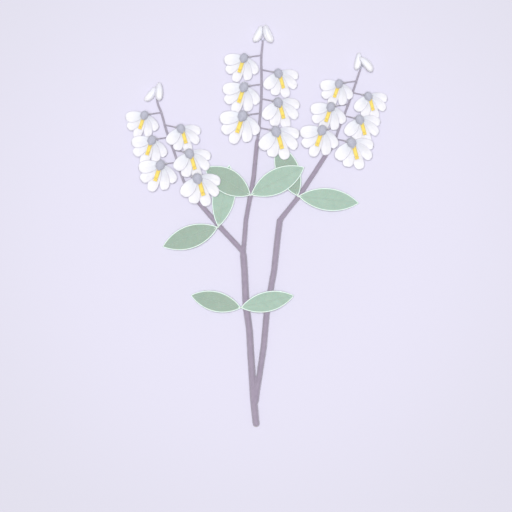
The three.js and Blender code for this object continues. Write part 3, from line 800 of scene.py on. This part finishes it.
# Stalks run from the wood to the tip, as x, y, z and radius in millimetres. What is given in pairs is for the
# flowers on the left and on the right. A pedicel's climb is its place along, its share of the rise and its
# swelling.
racemeValues = {
    "stalks": {
        "left": [
            (-42.3, 23.2, 1.65, 0.85), (-45.6, 31.5, 1.2, 0.78), (-48.5, 41.2, 0.8, 0.78),
            (-51.4, 49.4, 0.8, 0.76), (-53.9, 56.2, 1.1, 0.74), (-57.1, 67.5, 1.5, 0.7),
            (-59.8, 75.5, 1.7, 0.6), (-59.6, 77.2, 1.8, 0.4)],
        "centre": [
            (0.6, 51.2, 1.65, 0.85), (1.6, 58.5, 1.5, 0.78), (2.1, 66.0, 1.45, 0.78),
            (2.8, 74.5, 1.4, 0.76), (3.0, 88.0, 1.4, 0.74), (2.9, 102.0, 1.5, 0.7),
            (3.65, 109.6, 1.7, 0.62), (3.75, 111.2, 1.7, 0.45)],
        "right": [
            (41.9, 42.6, 1.65, 0.85), (46.2, 47.6, 1.3, 0.78), (48.2, 54.2, 0.9, 0.78),
            (50.8, 61.6, 0.8, 0.76), (53.4, 68.2, 0.8, 0.74), (56.3, 76.0, 1.1, 0.72),
            (59.0, 83.6, 1.5, 0.68), (61.7, 92.0, 1.5, 0.62), (62.5, 94.2, 1.4, 0.45)],
    },
    "budStalks": {
        "left": [
            [(-59.7, 76.4, 1.8, 0.45), (-58.9, 80.0, 2.0, 0.35),
             (-58.5, 83.2, 2.9, 0.35), (-58.4, 85.2, 5.2, 0.4)],
            [(-59.6, 77.0, 1.7, 0.4), (-59.8, 80.6, 1.4, 0.35),
             (-60.2, 82.6, 2.1, 0.4), (-60.7, 83.0, 3.0, 0.4)]],
        "centre": [
            [(3.7, 110.4, 1.6, 0.45), (2.2, 113.0, 0.9, 0.35),
             (1.9, 116.4, 0.95, 0.35), (2.7, 119.7, 3.2, 0.4)],
            [(3.7, 110.4, 1.7, 0.45), (5.6, 113.6, 1.8, 0.35),
             (6.0, 117.2, 2.0, 0.35), (5.2, 120.1, 3.9, 0.4)]],
        "right": [
            [(62.2, 93.4, 1.4, 0.45), (61.4, 96.4, 0.9, 0.35),
             (61.4, 101.0, 1.0, 0.35), (61.6, 103.6, 3.4, 0.4)],
            [(62.2, 93.4, 1.4, 0.45), (63.5, 96.4, 1.6, 0.35),
             (63.9, 98.2, 2.8, 0.35), (63.5, 99.8, 5.6, 0.4)]],
    },
    "topFlower": {"left": 67.5, "centre": 101.9, "right": 86.4},
    "flowerStep": {"left": 7.46, "centre": 8.7, "right": 6.95},
    "cupReach": {"left": (-10.1, 9.5), "centre": (-10.4, 10.0), "right": (-10.35, 9.4)},
    "cupDrop": (1.05, 1.6),
    "flowerScale": {"left": (1.0, 1.04), "centre": (1.05, 1.05), "right": (1.0, 1.0)},
    "cupHeight": 8.9, "liftOverWood": 1.6, "flowersOverWood": 4,
    "flowerSizes": (0.86, 0.86, 0.93, 0.93, 1.0, 1.0), "flowerTurns": (-21, 20),
    "pedicelRadius": 0.45, "pedicelRise": 0.4,
    "pedicelClimb": [(0.0, 0.0, 1.45), (0.1, 0.01, 1.05), (0.35, 0.03, 1.0), (0.53, 0.07, 1.0),
                     (0.66, 0.42, 1.0), (0.78, 0.8, 1.05), (0.9, 1.0, 1.25)],
    "hairs": 900, "down": {"length": 0.4, "radius": 0.03, "lean": 0.5},
}
flowersPerStalk = len(racemeValues["flowerSizes"])


def stalkAt(course, y):
    for (ax, ay, az, _), (bx, by, bz, _) in zip(course, course[1:]):
        if ay <= y <= by:
            return Vector((ax, ay, az)).lerp(Vector((bx, by, bz)), (y - ay) / (by - ay))
    return Vector(course[-1][:3])


def flowerPlace(name, number, course):  # the pedicel's foot, and the cup's place, turn and size
    values = racemeValues
    side = number % 2
    root = stalkAt(course, (values["topFlower"][name] - number * values["flowerStep"][name]) * mm)
    height = values["cupHeight"] + (values["liftOverWood"] if number >= values["flowersOverWood"] else 0)
    reach, drop = values["cupReach"][name][side], values["cupDrop"][side]
    cup = Vector((root.x + reach * mm, root.y - drop * mm, height * mm))
    turn = Matrix.Rotation(math.radians(values["flowerTurns"][side]), 4, "Z")
    size = values["flowerSizes"][number] * values["flowerScale"][name][side]
    foot = stalkAt(course, root.y + values["pedicelRise"] * mm)
    return foot, cup, Matrix.Translation(cup) @ Matrix.Scale(size, 4) @ turn


def makeRaceme(name, course):
    metres = [tuple(part * mm for part in row) for row in course]
    rods, felted = [makeRod("stalk", metres)], []
    for budStalk in racemeValues["budStalks"][name]:  # young and densely felted
        felted.append(makeRod("budStalk", [tuple(part * mm for part in row) for row in budStalk]))
    for number in range(flowersPerStalk):
        tag = f"{name}_{number + 1}"
        foot, cup, matrix = flowerPlace(name, number, metres)
        petals = copyOf(fanOfPetals, matrix)
        for vertex in petals.data.vertices:
            spot = vertex.co * petalValues["unevenScale"] + Vector((number, 0, 0))
            vertex.co.z += noise.noise(spot) * petalValues["uneven"] * mm
        finishPiece(petals, "petals_" + tag, petalFinish, "petal", "corolla_" + tag)
        stamens = copyOf(stamenBrushes[("left", "right")[number % 2]], matrix)
        finishPiece(stamens, "brush_" + tag, pollenFinish, "stamen", "stamens_" + tag)
        felted.append(copyOf(calyxCup, matrix))
        climb = []
        for along, rise, swell in racemeValues["pedicelClimb"]:
            point = foot.lerp(cup, along)
            height = foot.z + (cup.z - foot.z) * rise
            climb.append((point.x, point.y, height, racemeValues["pedicelRadius"] * swell * mm))
        rods.append(makeRod("pedicel", climb))
    stalk = joinAll(rods)
    finishPiece(stalk, "flowerStalk_" + name, stalkFinish, "flower_stalk", "raceme_stalk_" + name)
    felt = joinAll(felted)
    finishPiece(felt, "calyxCups_" + name, feltFinish, "flower_stalk", "raceme_stalk_" + name)
    roots = scatterRoots(stalk, racemeValues["hairs"], seed=3, keep=clearOfTable)
    growDown("downOnStalk_" + name, roots, racemeValues["down"], stemDownFinish, "flower_stalk")
    roots = scatterRoots(felt, cupValues["hairs"] * flowersPerStalk, seed=4)
    growDown("downOnCups_" + name, roots, cupValues["down"], cupDownFinish, "flower_stalk")


for racemeName, racemeCourse in racemeValues["stalks"].items():
    makeRaceme(racemeName, racemeCourse)
for pattern in (fanOfPetals, calyxCup, *stamenBrushes.values()):
    bpy.data.objects.remove(pattern)
print("racemes grown")


# Buds: five petals folded edge to edge

# Each bud has its base, tip and radius and how far its middle bows to the right, in millimetres. The two at the
# centre reach a little past the facing sides of their solids, given for the left side and for the right.
budValues = {
    "buds": {
        "bud_left_1": [(-58.4, 85.9, 6.3), (-58.5, 74.8, 6.7), 2.35, 0.0],
        "bud_left_2": [(-60.8, 83.2, 3.6), (-67.1, 74.6, 3.2), 2.3, 0.7],
        "bud_centre_1": [(3.0, 120.1, 4.3), (-1.7, 110.1, 4.0), 2.45, 0.75],
        "bud_centre_2": [(5.0, 120.6, 4.9), (9.3, 109.7, 5.6), 2.55, -0.6],
        "bud_right_1": [(61.6, 104.0, 4.2), (59.6, 93.3, 4.2), 2.2, 0.5],
        "bud_right_2": [(61.9, 101.0, 7.9), (69.5, 92.3, 6.5), 2.45, 0.5],
    },
    "sectors": 40, "rings": 24,
    "profile": [(0.0, 0.0), (0.1, 0.56), (0.34, 0.92), (0.62, 1.0), (0.87, 0.84), (1.0, 0.0)],
    # The seam shade width is how wide the painted shade along each seam is.
    "seam": 0.08, "seamWidth": 0.16, "seamShadeWidth": 0.1,
    "reachPast": {"bud_centre_1": (0.0, 0.12), "bud_centre_2": (-0.12, 0.0)},
}


def profileAt(profile, along):
    for (a, wideA), (b, wideB) in zip(profile, profile[1:]):
        if along <= b:
            return wideA + (wideB - wideA) * (along - a) / (b - a)
    return 0.0


def makeBud(node, base, tip, radius, bow):
    values = budValues
    base, axis = Vector(base) * mm, (Vector(tip) - Vector(base)) * mm
    aside = Vector((-axis.y, axis.x, 0)).normalized() * bow * mm
    turn = Vector((0, 0, 1)).rotation_difference(axis).to_matrix()
    across = [point.x for point in nodePoints(node)]
    left, right = values["reachPast"].get(node, (0.0, 0.0))
    bpy.ops.mesh.primitive_uv_sphere_add(segments=values["sectors"], ring_count=values["rings"], radius=1)
    bud = bpy.context.object
    places = []
    for vertex in bud.data.vertices:
        along = (1 - vertex.co.z) / 2
        angle = math.atan2(vertex.co.y, vertex.co.x)
        fifth = abs((angle * 5 / math.tau) % 1 - 0.5) * 2  # 1 on a seam, 0 in the middle of a petal
        seam = 1 - values["seam"] * math.exp(-((1 - fifth) / values["seamWidth"]) ** 2)
        swell = 4 * along * (1 - along)
        outline = profileAt(values["profile"], along)
        wide = 0.5 * outline + 0.5 * max(swell, 0.0) ** 0.5 * (0.85 + 0.25 * along)
        ring = turn @ Vector((math.cos(angle), math.sin(angle), 0)) * wide * radius * seam * mm
        point = base + axis * along + ring + aside * swell
        point.x = min(max(point.x, min(across) + left * mm), max(across) + right * mm)
        vertex.co = point
        # Painted shade: a thin grey line along each seam, for the shade in the crease where two petals meet.
        toSeamShade = 0.6 - 0.25 * math.exp(-((1 - fifth) / values["seamShadeWidth"]) ** 2)  # a thin grey seam
        places.append((along, fifth * 0.2, toSeamShade))
    writePlaces(bud, "petalPlace", places)
    mergeAndTurnOut(bud)
    finishPiece(bud, node + "_folded", budFinish, "petal", node)


for budNode, budShape in budValues["buds"].items():
    makeBud(budNode, *budShape)
print("buds grown")


# Table, light and camera

# The lamp is soft and stands almost overhead, so that the shadows stay under the flowers.
stageValues = {
    "table": 6.0, "sky": "#FFFFFF", "skyStrength": 0.3,
    # The paper's far colour is painted light falloff, darker away from the middle.
    "paper": {"middle": "#CFCCDC", "far": "#C8C6D2", "fadeFrom": 0.08, "fadeTo": 0.24,
              "fibre": 0.8, "fibreDepth": 0.02},
    "lamp": {"angle": 15, "from": (-0.02, 0.02, 1.0), "strength": 3.21},
    "lens": 400.0, "sensor": 36.0, "field": 307.2, "aim": (-0.3, -18.3, 6.0),
    "nearest": 0.05, "farthest": 20.0,
}


# Paper: matt, with painted light falloff: it is a little darker away from the middle. Its real fibres are too
# fine to show and are drawn coarser.
def backdropPaper():
    values = stageValues["paper"]
    material, tree, shader = newMaterial("backdropPaper", Roughness=0.95)
    place = addNode(tree, "TexCoord")
    outwards = addNode(tree, "VectorMath", {"operation": "LENGTH"}, {0: (place, "Object")})
    # Painted light falloff towards the far colour.
    share = addNode(tree, "MapRange", {"interpolation_type": "SMOOTHSTEP"}, {
        "Value": (outwards, "Value"), "From Min": values["fadeFrom"], "From Max": values["fadeTo"]})
    colour = addNode(tree, "Mix", {"data_type": "RGBA"}, {
        0: (share, "Result"), 6: values["middle"], 7: values["far"]})
    fibres = addNode(tree, "TexNoise", inputs={
        "Vector": (place, "Object"), "Scale": 1 / (values["fibre"] * mm), "Detail": 4.0})
    relief = addNode(tree, "Bump", inputs={"Height": (fibres, "Fac"), "Distance": values["fibreDepth"] * mm})
    tree.links.new(colour.outputs[2], shader.inputs["Base Color"])
    tree.links.new(relief.outputs[0], shader.inputs["Normal"])
    return material


bpy.ops.mesh.primitive_plane_add(size=stageValues["table"])
table = bpy.context.object
table.name = "table"
table.data.materials.append(backdropPaper())

world = bpy.data.worlds.new("studio")
bpy.context.scene.world = world
world.use_nodes = True
world.node_tree.nodes["Background"].inputs["Color"].default_value = linear(stageValues["sky"])
world.node_tree.nodes["Background"].inputs["Strength"].default_value = stageValues["skyStrength"]

lampValues = stageValues["lamp"]
bpy.ops.object.light_add(type="SUN", location=lampValues["from"])
lamp = bpy.context.object
lamp.name = "softLamp"
lamp.data.angle = math.radians(lampValues["angle"])
lamp.data.energy = lampValues["strength"]
lamp.rotation_mode = "QUATERNION"
lamp.rotation_quaternion = (-Vector(lampValues["from"])).to_track_quat("-Z", "Y")

aim = Vector(stageValues["aim"]) * mm
distance = stageValues["field"] * mm * stageValues["lens"] / stageValues["sensor"]
bpy.ops.object.camera_add(location=aim + Vector((0, 0, distance)), rotation=(0, 0, 0))
camera = bpy.context.object
camera.data.lens, camera.data.sensor_width = stageValues["lens"], stageValues["sensor"]
camera.data.clip_start, camera.data.clip_end = stageValues["nearest"], stageValues["farthest"]
bpy.context.scene.camera = camera
bpy.context.scene.view_settings.view_transform = "Standard"
print("stage set")
